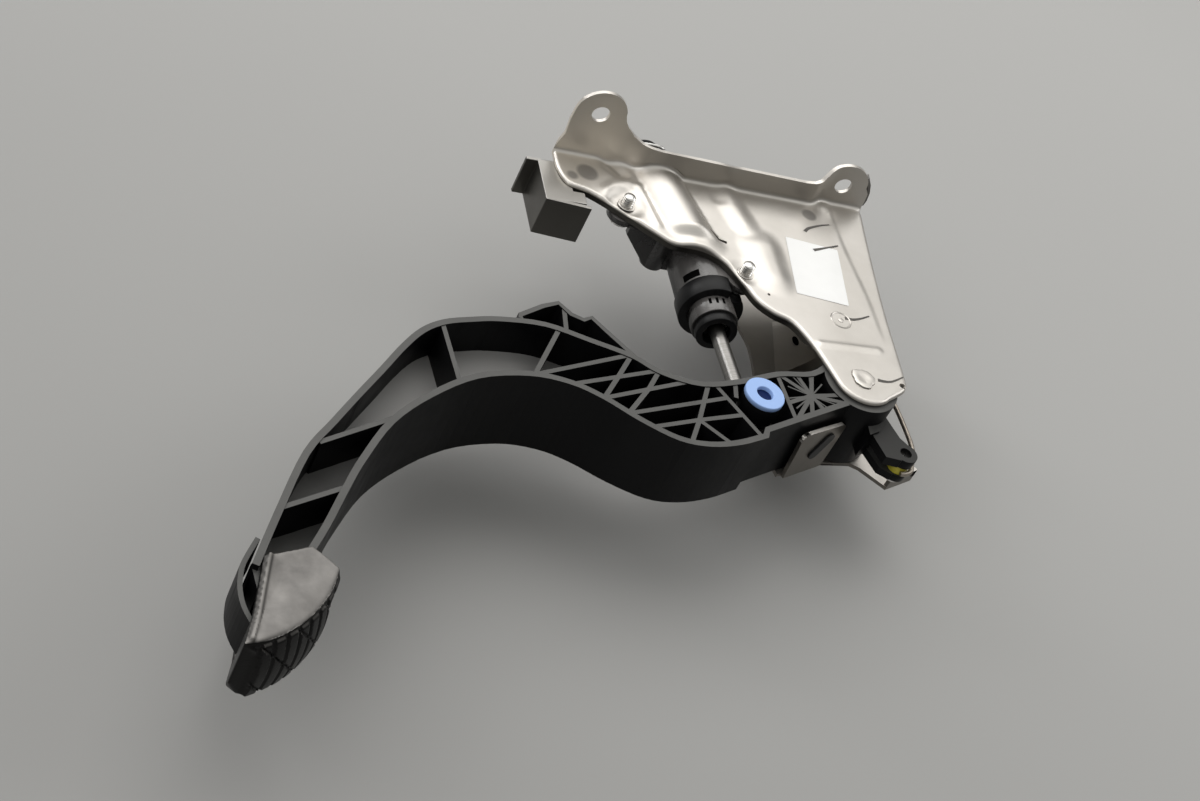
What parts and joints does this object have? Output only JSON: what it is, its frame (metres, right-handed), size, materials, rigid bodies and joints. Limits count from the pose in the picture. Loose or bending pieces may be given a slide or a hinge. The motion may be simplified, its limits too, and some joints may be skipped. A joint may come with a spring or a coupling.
{
  "type": "clutch pedal assembly",
  "caption": "Hanging clutch pedal: ribbed plastic arm with a rubber pad, pivoting in a pressed steel bulkhead bracket and driving a hydraulic master cylinder by a push rod.",
  "frame": {"origin": "centre of the right bulkhead hole, on the face of the bracket that meets the bulkhead", "axes": "+Y points forward, out of the bulkhead face; +Z is along the pedal's pivot axis, from the lower plate to the upper plate; +X runs along the flange, from the left ear to the right ear. In the car the pivot axis lies across the car."},
  "size_m": [0.347, 0.3368, 0.114],
  "materials": {
    "zinc_steel": "satin zinc-plated sheet, faintly warm",
    "label": "matt white film, bare",
    "rubber": "satin black rubber",
    "bright_steel": "satin plated steel",
    "spring_steel": "dark drawn spring wire",
    "alloy": "turned",
    "arm_plastic": "near-black moulded nylon with a fine satin grain",
    "housing_plastic": "dark satin-gloss moulding",
    "black_plastic": "black moulding",
    "blue_plastic": "smooth blue moulding",
    "yellow_plastic": "greased yellow moulding"
  },
  "bodies": {
    "bracket": {"upper_bracket": "zinc_steel", "lower_bracket": "zinc_steel", "side_catch": "zinc_steel", "blank_label": "label", "stop_buffer": "rubber", "pivot_pin": "bright_steel", "pivot_sleeve": "bright_steel", "cylinder_body": "housing_plastic", "cylinder_collar": "black_plastic", "guide_sleeve": "housing_plastic", "rod_guide_ring": "black_plastic", "rear_union": "black_plastic", "outlet_connector": "black_plastic", "outlet_clip": "bright_steel", "cylinder_stud_rear": "bright_steel", "cylinder_stud_front": "bright_steel", "cylinder_spring": "spring_steel", "over_centre_spring": "spring_steel"},
    "pedal": {"pedal_arm": "arm_plastic", "pad_cover": "rubber", "rod_pin": "blue_plastic", "tail_pin": "bright_steel", "tail_bush": "yellow_plastic", "pivot_bush_upper": "black_plastic", "pivot_bush_lower": "black_plastic"},
    "rod": {"push_rod": "bright_steel", "rod_eye_liner": "blue_plastic"},
    "piston": {"piston": "alloy", "primary_seal": "rubber", "secondary_seal": "rubber"}
  },
  "joints": [
    {"name": "pedal_pivot", "type": "hinge", "parent": "bracket", "child": "pedal", "pos_m": [-0.018, -0.128, -0.032], "axis": [0, 0, 1], "range_deg": [-27, 0], "stiffness_Nm_per_rad": 3.6, "springref_deg": 17.19, "deforming": ["over_centre_spring"]},
    {"name": "rod_pin_pivot", "type": "hinge", "parent": "pedal", "child": "rod", "pos_m": [-0.0747, -0.1474, -0.032], "axis": [0, 0, 1], "range_deg": [0, 24]},
    {"name": "piston_slide", "type": "slide", "parent": "bracket", "child": "piston", "axis": [0, 1, 0], "range_m": [0, 0.028], "deforming": ["cylinder_spring"]}
  ],
  "couplings": [
    {"joint": "rod_pin_pivot", "follows": "pedal_pivot", "ratio": -0.88},
    {"joint": "piston_slide", "follows": "pedal_pivot", "m_per_rad": -0.0592}
  ]
}
